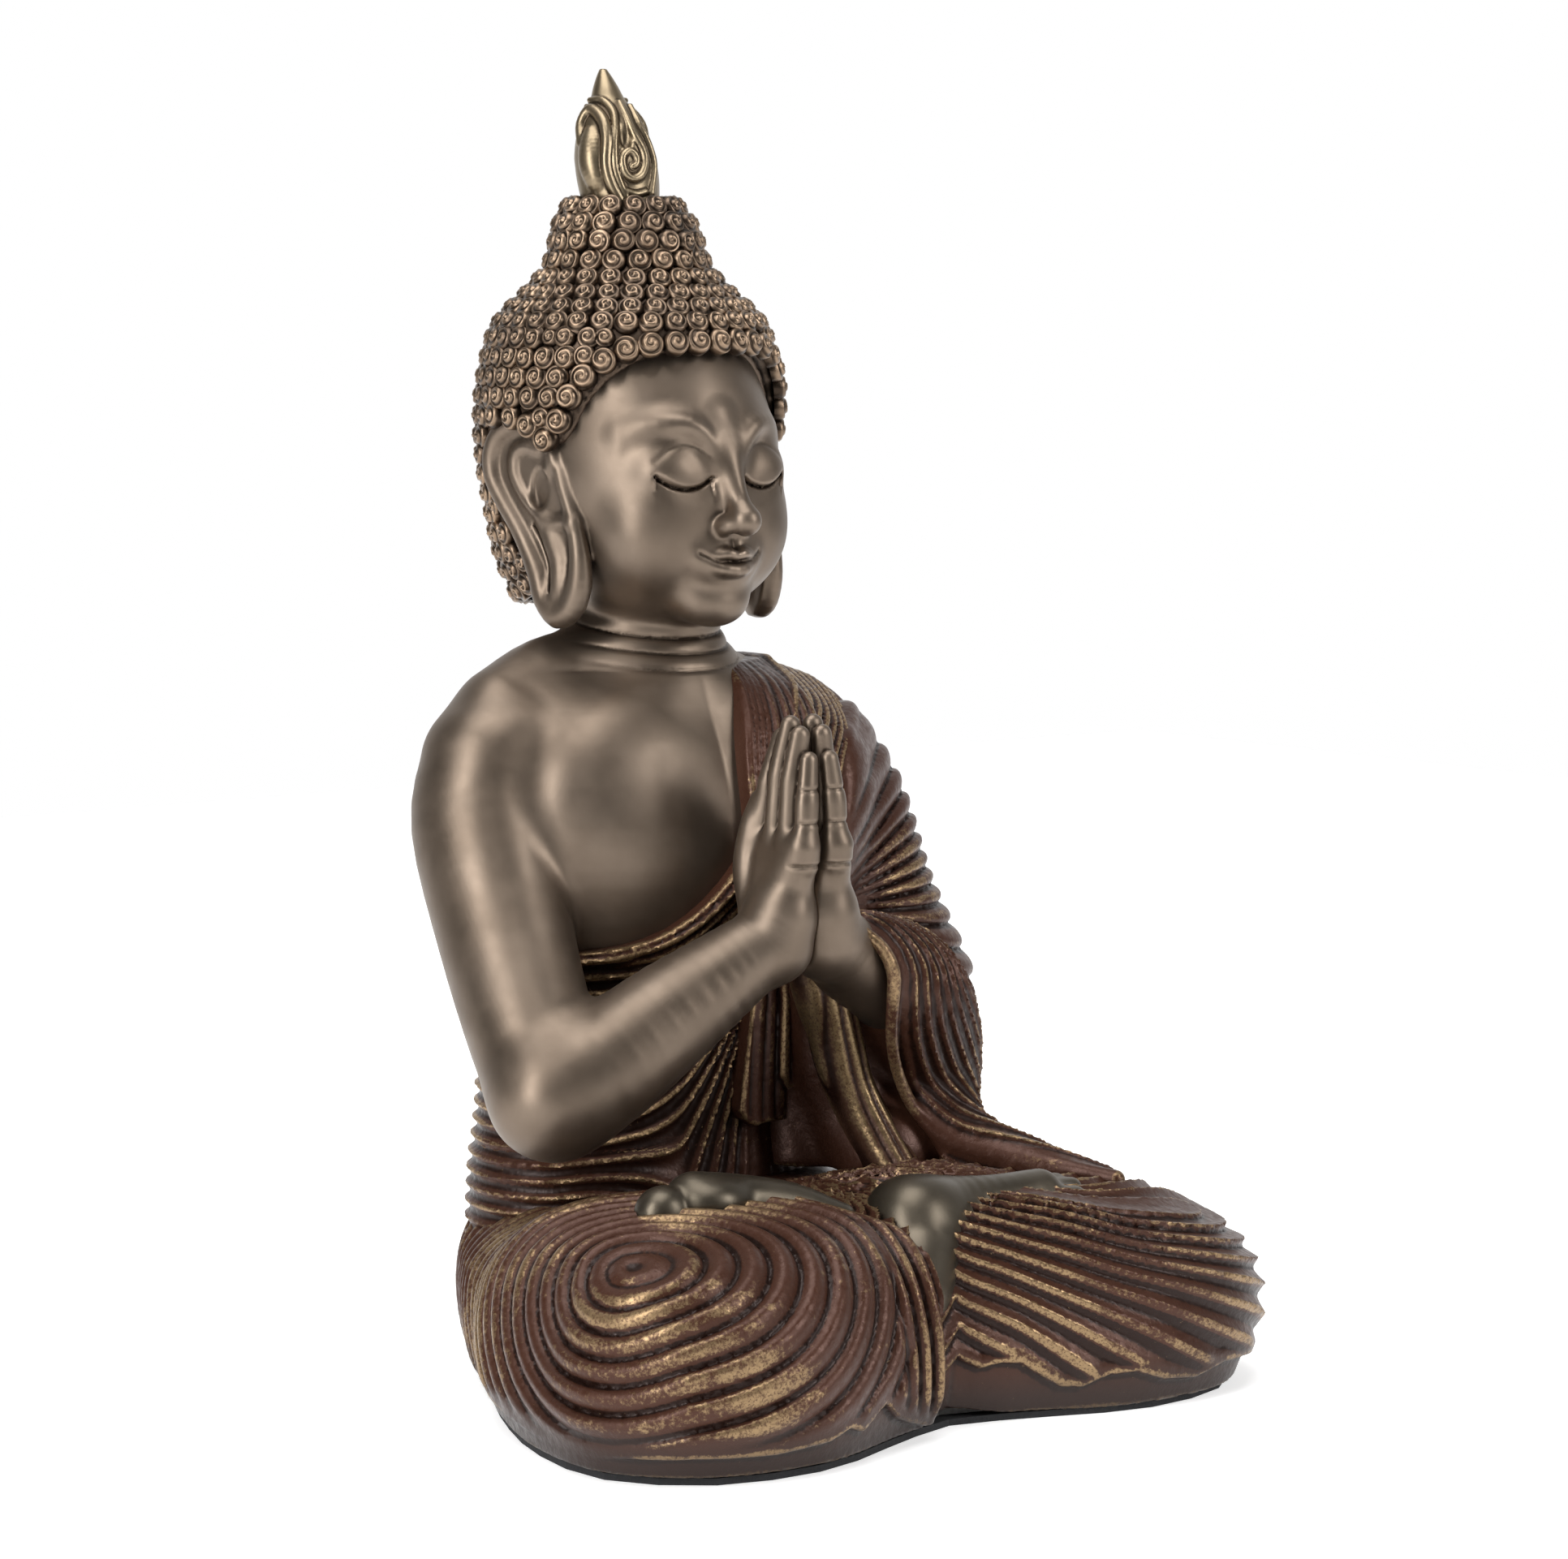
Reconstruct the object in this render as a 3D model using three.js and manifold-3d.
// Seated statue with palms pressed together, as a set of glued resin castings.
// Millimetres, +Z up. The model is drawn with the neck axis on X0 Y0, its front
// towards -Y, its right hand side towards -X and the underside at Z0. The group
// is then moved along Y, so that the origin is under the middle of the statue.
import * as THREE from "three";
import { mergeVertices } from "three/addons/utils/BufferGeometryUtils.js";
import Module from "manifold-3d";

const wasm = await Module();
wasm.setup();

// ---- driving dimensions ----
const GAP = 0.3; // glue line between neighbouring castings
const FELT = 1.5; // thickness of the felt under the base
const FELT_SHARE = 0.985; // the felt's outline as a share of the base's
const PLATE = 3; // thickness of the plate that closes the base
const WALL = 6; // wall of the hollow castings
const CLOTH = 3; // thickness of the cast robe over the torso
const SASH = 2.4; // thickness of the pleated band over the robe
const NECK_Z = 161; // joint between head and torso
const WAIST_Z = 57; // joint between torso and lap
const FINIAL_Z = 268.6; // joint between flame and hair
const TIP_Z = 300; // top of the flame
const FRONT = 126; // from the neck axis forward to the knees
const REAR = 48; // from the neck axis back to the curls behind the head
const DOWEL = 4; // radius of the waist, neck and shoulder dowels
const PIN = 1.5; // radius of the finial pin
const VENT = 8; // radius of the openings between the hollows
const HOLLOW_SHARE = 0.91; // outline of the hollow as a share of the lap's
const HALL = 400; // side of the boxes that cut along a plane, larger than the statue
const ROUND = [Math.PI / 2, 1.05, 0.52]; // leans of the rings that round off a limb's end

// Half of the lap seen from above where it is widest, [x, y].
const LAP_HALF = [
  [20, -117], [48, -FRONT], [76, -121], [92, -102], [91, -76], [82, -50], [70, -26],
  [56, 0], [40, 24], [18, 34],
];
const LAP_NOTCH = [0, -111];
const LAP_BACK = [0, 36];
const LAP_Y = -48; // the outline shrinks towards this point on X0
const LAP_REACH = 90; // about how far the outline is from that point
// Levels of the lap from the top down, [share of that outline, z].
const LAP_LEVELS = [
  [0.3, 47], [0.6, 46.5], [0.76, 44.5], [0.86, 41], [0.94, 35], [0.985, 27],
  [1, 19], [0.99, 10], [0.965, FELT + GAP],
];
// Level sections from the top down, [z, half width, half depth, centre y].
const HIPS = [
  [WAIST_Z, 46, 31, 3], [44, 48, 32, 3], [16, 49, 33, 3], [FELT + GAP, 47, 32, 3],
];
const TORSO = [
  [NECK_Z, 20, 18, 2], [156, 33, 20, 3], [150, 42, 23, 4], [140, 46, 27, 4],
  [122, 47, 31.5, 2], [104, 44, 30, 1], [86, 42, 27, 2], [WAIST_Z + GAP, 43, 27, 4],
];
const NECK = [[190, 17, 17, 4], [174, 17, 17, 3.5], [NECK_Z + GAP, 18.5, 17.5, 2.5]];
// The hair as [z, radius, centre y], smoothly between these levels.
const HAIR = [
  [FINIAL_Z, 11, 14], [261, 18.4, 12.4], [250, 25, 11.6], [242, 30.5, 11.2], [233, 34.6, 11],
  [222, 36.6, REAR - 37], [211, 36.4, REAR - 37], [199, 34.5, 11], [186, 31, 12], [174, 25, 13.5],
];
const CURL_ROWS = 15;
const CURL_SWELL = 0.9; // how far each row of curls swells past that and shrinks below it
const HAIRLINE = { point: [0, -22, 237], normal: [0, 0.65, 0.76] };
const FLAME = [
  [TIP_Z, 0.6, 0.6, 21.6], [295, 2.4, 2.6, 20.4], [291, 5, 5, 19.4], [286, 8, 7.5, 18.2],
  [279, 9.6, 9.2, 16.8], [272.5, 8.6, 8.6, 15.4], [FINIAL_Z + GAP, 6.5, 6.5, 14.6],
];
// Limbs as stations, [x, y, z, radius].
const UPPER_ARM = [
  [-46, 4, 138, 17], [-49, 1, 126, 16.5], [-52, -12, 103, 15.5], [-55, -27, 80, 14.5],
  [-56, -38, 69, 14],
];
const FOREARM = [
  [-56, -38, 69, 14], [-47, -42, 75, 14], [-30, -46, 87, 12], [-17, -50, 96, 10],
  [-9, -53, 102, 8.5],
];
const LEFT_WRIST = [[32, -46, 86, 9.5], [17, -50, 96, 9], [9, -53, 102, 8.5]];
const LEFT_UPPER = [
  [46, 3, 136, 19], [51, 1, 122, 19.5], [56, -2, 100, 21], [60, -9, 80, 22],
];
const SLEEVE = [
  [22, -48, 92, 13], [36, -43, 84, 16], [48, -33, 70, 20], [52, -32, 54, 22],
];
// Planes of the glued joints in the arms. The left arm has the mirrored wrist.
const ELBOW = { point: [-56, -38, 69], normal: [0.94, -0.99, -0.24] };
const WRIST = { point: [-9, -53, 102], normal: [0.45, -0.2, 0.87] };
const RIGHT_FOOT = [[2, -87, 46, 8], [18, -87, 47, 8], [38, -88, 46, 6.5], [50, -88, 44, 5]];
const RIGHT_SHIN = [[2, -88, 45, 7.5], [-4, -103, 36, 7.5]];
const LEFT_FOOT = [[-14, -80, 47, 7], [-32, -77, 49, 7], [-48, -75, 50, 6.5], [-58, -75, 50, 5]];

const SKULL = { centre: [0, 10, 214], radii: [31, 33, 37] };
const FACE = { centre: [0, -2, 198], radii: [26.5, 29, 27] };
const HEAD_HOLLOW = { centre: [0, 8, 206], radii: [22, 25, 26] };
const EAR_X = 27; // inner face of an ear
const EAR_THICK = 5;
const EAR_BEVEL = 1.4;

// Side outlines, [y, z].
const EAR = [
  [12, 217], [22, 218], [29, 211], [29, 201], [22, 191], [13, 183], [9, 175], [4, 171.6],
  [-1, 173], [-3, 181], [-3, 189], [3, 197], [7, 207],
];
const EAR_SLOT = { centre: [3.5, 180.5], radii: [1.6, 5], tilt: -0.35 };
const HAND = [
  [-45, 99], [-61, 97], [-66, 108], [-67, 122], [-64, 137], [-62, 147], [-60, 151.5],
  [-55, 154], [-51, 152], [-48, 142], [-45, 128], [-43, 114],
];
const HAND_THICK = 9;
const HAND_BEVEL = 3;
const THUMB = [[8, -44, 113, 3.4], [8, -45, 124, 3.2], [6, -47, 133, 2.6]];

// Edge of the robe from the left shoulder to under the right arm, [x, z].
const ROBE_EDGE = [[30, 163], [27, 160], [16, 149], [2, 122], [-18, 103], [-43, 97], [-58, 96]];
// Pleated band from the left shoulder to behind the hands, [x, z].
const SASH_INNER = [[31, 164], [27, 150], [17, 124], [7, 100]];
const SASH_OUTER = [[27, 96], [36, 124], [44, 150], [46, 164]];

// ---- solids ----
function solid(geometry) {
  const bare = geometry.clone();
  bare.deleteAttribute("normal");
  bare.deleteAttribute("uv");
  const merged = mergeVertices(bare, 1e-4);
  const vertProperties = new Float32Array(merged.attributes.position.array);
  const triVerts = new Uint32Array(merged.index.array);
  return new wasm.Manifold(new wasm.Mesh({ numProp: 3, vertProperties, triVerts }));
}

function joined(first, ...others) {
  return others.reduce((sum, next) => sum.add(next), first);
}

function cut(body, ...tools) {
  return tools.reduce((rest, tool) => rest.subtract(tool), body);
}

// A sphere's grid moved onto rows of points. Each row is a function from the turn
// to a point, anticlockwise seen from the first row, and both end rows are one point.
function skin(rows, sides) {
  const geometry = new THREE.SphereGeometry(1, sides, rows.length - 1);
  const position = geometry.attributes.position;
  for (let i = 0; i < position.count; i += 1) {
    const row = Math.floor(i / (sides + 1));
    const turn = (2 * Math.PI * ((i % (sides + 1)) % sides)) / sides;
    const point = rows[row](turn);
    position.setXYZ(i, point.x, point.y, point.z);
  }
  return solid(geometry);
}

// Ellipses at levels from the top down, with flat ends.
function stack(levels, grow = 0, sides = 28) {
  const rim = ([z, a, b, y]) => (turn) => new THREE.Vector3(
    -(a + grow) * Math.cos(turn), y - (b + grow) * Math.sin(turn), z);
  const lid = ([z, , , y]) => () => new THREE.Vector3(0, y, z);
  return skin([lid(levels[0]), ...levels.map(rim), lid(levels.at(-1))], sides);
}

// The same levels with both ends moved along Z, for a form that has to reach past them.
function reaching(levels, top, bottom) {
  return [[top, ...levels[0].slice(1)], ...levels.slice(1, -1), [bottom, ...levels.at(-1).slice(1)]];
}

// A round limb through its stations, with round ends.
function limb(stations, grow = 0, sides = 16, steps = 2) {
  const curve = new THREE.CatmullRomCurve3(stations.map(([x, y, z]) => new THREE.Vector3(x, y, z)));
  const spans = stations.length - 1;
  const ring = (t, lean) => {
    const at = Math.min(Math.floor(t * spans), spans - 1);
    const radius = grow + THREE.MathUtils.lerp(stations[at][3], stations[at + 1][3], t * spans - at);
    const along = curve.getTangent(t);
    const across = new THREE.Vector3().crossVectors(along, new THREE.Vector3(0, 1, 0)).normalize();
    const over = new THREE.Vector3().crossVectors(across, along);
    const centre = curve.getPoint(t).addScaledVector(along, radius * Math.sin(lean));
    return (turn) => centre.clone()
      .addScaledVector(across, radius * Math.cos(lean) * Math.cos(turn))
      .addScaledVector(over, radius * Math.cos(lean) * Math.sin(turn));
  };
  const rows = ROUND.map((lean) => ring(0, -lean));
  for (let i = 0; i <= spans * steps; i += 1) rows.push(ring(i / (spans * steps), 0));
  return skin([...rows, ...ROUND.map((lean) => ring(1, lean)).reverse()], sides);
}

function ellipsoid({ centre, radii }, grow = 0, sides = 24) {
  const geometry = new THREE.SphereGeometry(1, sides, sides / 2);
  geometry.rotateX(Math.PI / 2);
  geometry.scale(...radii.map((r) => r + grow));
  geometry.translate(...centre);
  return solid(geometry);
}

function outline(points) {
  const curve = new THREE.SplineCurve([...points, points[0]].map(([x, y]) => new THREE.Vector2(x, y)));
  return new THREE.Shape(curve.getPoints(points.length * 2).slice(0, -1));
}

// A side outline, [y, z], made thick along X from x0, with its edges rounded.
function slab(shape, x0, thickness, bevel, grow = 0) {
  const geometry = new THREE.ExtrudeGeometry(shape, {
    depth: thickness + 2 * grow - 2 * bevel, bevelEnabled: true, bevelSize: bevel,
    bevelThickness: bevel, bevelOffset: grow - bevel, bevelSegments: 2, curveSegments: 8,
  });
  geometry.translate(0, 0, x0 - grow + bevel);
  geometry.applyMatrix4(new THREE.Matrix4().set(0, 0, 1, 0, 1, 0, 0, 0, 0, 1, 0, 0, 0, 0, 0, 1));
  return solid(geometry);
}

// A front outline, [x, z], made thick along Y between two depths.
function curtain(shape, y0, y1) {
  const geometry = new THREE.ExtrudeGeometry(shape, { depth: y1 - y0, bevelEnabled: false });
  geometry.rotateX(Math.PI / 2);
  geometry.translate(0, y1, 0);
  return solid(geometry);
}

// A round bar between two points.
function bar(from, to, radius, sides = 16) {
  const start = new THREE.Vector3(...from);
  const along = new THREE.Vector3(...to).sub(start);
  const geometry = new THREE.CylinderGeometry(radius, radius, along.length(), sides);
  const turn = new THREE.Quaternion().setFromUnitVectors(
    new THREE.Vector3(0, 1, 0), along.clone().normalize());
  geometry.applyQuaternion(turn);
  const middle = start.addScaledVector(along, 0.5);
  geometry.translate(middle.x, middle.y, middle.z);
  return solid(geometry);
}

// Everything on the side of a plane that its normal points to.
function beyond(point, normal) {
  const geometry = new THREE.BoxGeometry(HALL, HALL, HALL);
  geometry.translate(0, 0, HALL / 2);
  geometry.applyQuaternion(new THREE.Quaternion().setFromUnitVectors(
    new THREE.Vector3(0, 0, 1), new THREE.Vector3(...normal).normalize()));
  geometry.translate(...point);
  return solid(geometry);
}

// The two sides of a joint plane, half a gap clear of it. Side 1 is the right of the
// body, as the planes are written, and side -1 mirrors the plane to the left.
function ahead({ point, normal }, side, away = 1) {
  const unit = new THREE.Vector3(...normal).normalize().multiplyScalar(away);
  const [x, y, z] = point;
  const shift = unit.clone().multiplyScalar(GAP / 2);
  const place = [side * (x + shift.x), y + shift.y, z + shift.z];
  return beyond(place, [side * unit.x, unit.y, unit.z]);
}
const behind = (joint, side) => ahead(joint, side, -1);

function between(low, high) {
  return beyond([0, 0, low], [0, 0, 1]).intersect(beyond([0, 0, high], [0, 0, -1]));
}

// ---- forms that several castings share ----
const lapOutline = new THREE.CatmullRomCurve3([
  LAP_NOTCH, ...LAP_HALF, LAP_BACK, ...LAP_HALF.map(([x, y]) => [-x, y]).reverse(),
].map(([x, y]) => new THREE.Vector3(x, y, 0)), true);

// The outline of the lap shrunk towards its centre, at each of the levels.
function lapStack(levels, sides = 44) {
  const rim = ([share, z]) => (turn) => {
    const edge = lapOutline.getPointAt(turn / (2 * Math.PI));
    return new THREE.Vector3(edge.x * share, LAP_Y + (edge.y - LAP_Y) * share, z);
  };
  const lid = ([, z]) => () => new THREE.Vector3(0, LAP_Y, z);
  return skin([lid(levels[0]), ...levels.map(rim), lid(levels.at(-1))], sides);
}

const lapForm = (raise = 0) => lapStack(LAP_LEVELS.map(([share, z]) => [share, z + raise]));

function lapHollow(shrink) {
  const inset = ([share, z]) => [share * HOLLOW_SHARE - shrink / LAP_REACH, z - WALL];
  const top = LAP_LEVELS.slice(1, -1).map(inset);
  const front = lapStack([...top, [top.at(-1)[0], 0]], 30);
  return front.add(stack(reaching(HIPS, WAIST_Z - 16, 0), -WALL - shrink, 24));
}

const torsoForm = (grow, top = NECK_Z, bottom = WAIST_Z + GAP) =>
  stack(reaching(TORSO, top, bottom), grow);
const torsoCutter = (grow) => torsoForm(grow, NECK_Z + 1, WAIST_Z - 1);
const seatForm = () => lapForm(GAP).add(stack(reaching(HIPS, WAIST_Z + GAP, 0), GAP));
const sleeveForm = (grow) => limb(SLEEVE, grow);
const leftUpperForm = (grow) => limb(LEFT_UPPER, grow);
const leftWristForm = (grow) => limb(LEFT_WRIST, grow);
const rightFootForm = (grow) => limb(RIGHT_FOOT, grow, 14).add(limb(RIGHT_SHIN, grow, 14));
const leftFootForm = (grow) => limb(LEFT_FOOT, grow, 14);

// Level rings through the hair, one at the middle of each row of curls and one between rows.
function hairForm() {
  const spine = new THREE.SplineCurve(HAIR.map(([z, r]) => new THREE.Vector2(z, r)));
  const lean = new THREE.SplineCurve(HAIR.map(([z, , y]) => new THREE.Vector2(z, y)));
  const rings = [];
  for (let i = 0; i <= 2 * CURL_ROWS; i += 1) {
    const at = i / (2 * CURL_ROWS);
    const { x: z, y: radius } = spine.getPoint(at);
    const swell = i % 2 === 1 ? CURL_SWELL : -CURL_SWELL;
    rings.push([z, radius + swell, radius + swell, lean.getPoint(at).y]);
  }
  return stack(rings, 0, 28);
}

function earForm(side, grow) {
  const x0 = side > 0 ? EAR_X : -EAR_X - EAR_THICK;
  return slab(outline(EAR), x0, EAR_THICK, EAR_BEVEL, grow);
}

function headForm(grow) {
  return joined(ellipsoid(SKULL, grow), ellipsoid(FACE, grow), stack(NECK, grow, 24),
    earForm(1, grow), earForm(-1, grow));
}

// Dowels, which also cut their own holes when they are grown.
const DOWELS = {
  waist_dowel_right: (grow) => bar([-24, 4, 45 - grow], [-24, 4, 69 + grow], DOWEL + grow),
  waist_dowel_left: (grow) => bar([24, 4, 45 - grow], [24, 4, 69 + grow], DOWEL + grow),
  neck_dowel: (grow) => bar([0, 3, 143 - grow], [0, 3, 179 + grow], DOWEL + grow),
  right_shoulder_dowel: (grow) => bar([-42 + grow, 2, 132], [-60 - grow, 2, 132], DOWEL + grow),
  left_shoulder_dowel: (grow) => bar([42 - grow, 2, 128], [63 + grow, 2, 128], DOWEL + grow),
  finial_pin: (grow) => bar([0, 14, 254 - grow], [0, 16, 281 + grow], PIN + grow, 12),
};
const hole = (name) => DOWELS[name](GAP);

// ---- castings ----
function feltPad() {
  const share = LAP_LEVELS.at(-1)[0] * FELT_SHARE;
  return lapStack([[share, FELT], [share, 0]]);
}

function basePlate() {
  const slice = between(FELT + GAP, FELT + GAP + PLATE);
  return cut(lapHollow(GAP).intersect(slice), bar([0, -40, 0], [0, -40, 20], VENT));
}

function lapCasting() {
  const vent = bar([0, 4, 30], [0, 4, WAIST_Z + 1], VENT);
  return cut(lapForm().add(stack(HIPS)), lapHollow(0), vent, rightFootForm(GAP), leftFootForm(GAP),
    hole("waist_dowel_right"), hole("waist_dowel_left"));
}

function torsoCasting() {
  const hollow = torsoForm(-WALL).intersect(between(WAIST_Z + 14, NECK_Z - 10));
  const vent = bar([0, 4, WAIST_Z - 2], [0, 4, WAIST_Z + 16], VENT);
  return cut(torsoForm(0), hollow, vent, hole("waist_dowel_right"), hole("waist_dowel_left"),
    hole("neck_dowel"), hole("right_shoulder_dowel"), hole("left_shoulder_dowel"));
}

function robeWrap() {
  const edge = new THREE.SplineCurve(ROBE_EDGE.map(([x, z]) => new THREE.Vector2(x, z)));
  const bare = new THREE.Shape([...edge.getPoints(18), new THREE.Vector2(-HALL, ROBE_EDGE.at(-1)[1]),
    new THREE.Vector2(-HALL, HALL), new THREE.Vector2(ROBE_EDGE[0][0], HALL)]);
  return cut(torsoForm(GAP + CLOTH), torsoCutter(GAP), curtain(bare, -HALL, HALL),
    hole("left_shoulder_dowel"));
}

function shoulderSash() {
  const band = new THREE.Shape([...SASH_INNER, ...SASH_OUTER].map(([x, z]) => new THREE.Vector2(x, z)));
  const under = 2 * GAP + CLOTH;
  return cut(torsoForm(under + SASH).intersect(curtain(band, -HALL, 0)), torsoCutter(under),
    leftUpperForm(GAP), sleeveForm(GAP));
}

function leftUpperSleeve() {
  return cut(leftUpperForm(0), torsoCutter(2 * GAP + CLOTH), hole("left_shoulder_dowel"));
}

function leftSleeveFall() {
  return cut(sleeveForm(0), torsoCutter(2 * GAP + CLOTH), seatForm(), leftUpperForm(GAP),
    rightFootForm(GAP), leftWristForm(GAP));
}

const leftForearm = () => leftWristForm(0).intersect(behind(WRIST, -1));
const rightForearm = () => limb(FOREARM).intersect(ahead(ELBOW, 1)).intersect(behind(WRIST, 1));

function rightUpperArm() {
  return cut(limb(UPPER_ARM).intersect(behind(ELBOW, 1)), torsoCutter(GAP),
    torsoForm(2 * GAP + CLOTH, ROBE_EDGE.at(-1)[1] + GAP, WAIST_Z), hole("right_shoulder_dowel"));
}

function hand(side) {
  const x0 = side > 0 ? GAP / 2 : -GAP / 2 - HAND_THICK;
  const thumb = limb(THUMB.map(([x, ...rest]) => [side * x, ...rest]), 0, 12);
  const palm = slab(outline(HAND), x0, HAND_THICK, HAND_BEVEL);
  return palm.add(thumb).intersect(ahead(WRIST, -side));
}

function headCasting() {
  const { centre, radii, tilt } = EAR_SLOT;
  const slot = new THREE.Shape().absellipse(...centre, ...radii, 0, 2 * Math.PI, false, tilt);
  return cut(headForm(0), ellipsoid(HEAD_HOLLOW), slab(slot, -HALL, 2 * HALL, 0.1), hole("neck_dowel"));
}

function hairCap() {
  return cut(hairForm().intersect(beyond(HAIRLINE.point, HAIRLINE.normal)), headForm(GAP),
    hole("finial_pin"));
}

const flameFinial = () => stack(FLAME, 0, 24).subtract(hole("finial_pin"));

// ---- finishes ----
const finish = (color, roughness, metalness) => ({ color, roughness, metalness });
const SKIN = finish(0x75675a, 0.36, 0.75);
const ROBE = finish(0x4b2c22, 0.6, 0.35);
const BAND = finish(0x5a3829, 0.55, 0.4);
const CURLS = finish(0x6e5a48, 0.45, 0.7);
const BRASS = finish(0x8f7448, 0.38, 0.85);
const SOLE = finish(0x4d493f, 0.4, 0.7);
const RESIN = finish(0x3c3a37, 0.8, 0);
const BLACK_FELT = finish(0x17171a, 1, 0);
const STEEL = finish(0x9a9c9e, 0.35, 1);

// ---- assembly ----
const statue = new THREE.Group();

function place(name, body, look) {
  const { numProp, vertProperties, triVerts } = body.getMesh();
  const geometry = new THREE.BufferGeometry();
  geometry.setAttribute("position", new THREE.BufferAttribute(vertProperties, numProp));
  geometry.setIndex(new THREE.BufferAttribute(triVerts, 1));
  geometry.computeVertexNormals();
  const mesh = new THREE.Mesh(geometry, new THREE.MeshStandardMaterial(look));
  mesh.name = name;
  statue.add(mesh);
}

place("felt_pad", feltPad(), BLACK_FELT);
place("base_plate", basePlate(), RESIN);
place("lap_casting", lapCasting(), ROBE);
place("right_foot", rightFootForm(0), SOLE);
place("left_foot", leftFootForm(0), SOLE);
place("torso_casting", torsoCasting(), SKIN);
place("robe_wrap", robeWrap(), ROBE);
place("shoulder_sash", shoulderSash(), BAND);
place("left_upper_sleeve", leftUpperSleeve(), ROBE);
place("left_sleeve_fall", leftSleeveFall(), ROBE);
place("right_upper_arm", rightUpperArm(), SKIN);
place("right_forearm", rightForearm(), SKIN);
place("left_forearm", leftForearm(), SKIN);
place("right_hand", hand(-1), SKIN);
place("left_hand", hand(1), SKIN);
place("head_casting", headCasting(), SKIN);
place("hair_cap", hairCap(), CURLS);
place("flame_finial", flameFinial(), BRASS);
for (const name of Object.keys(DOWELS)) place(name, DOWELS[name](0), STEEL);

const box = new THREE.Box3().setFromObject(statue);
statue.position.y = -(box.min.y + box.max.y) / 2;

export default statue;
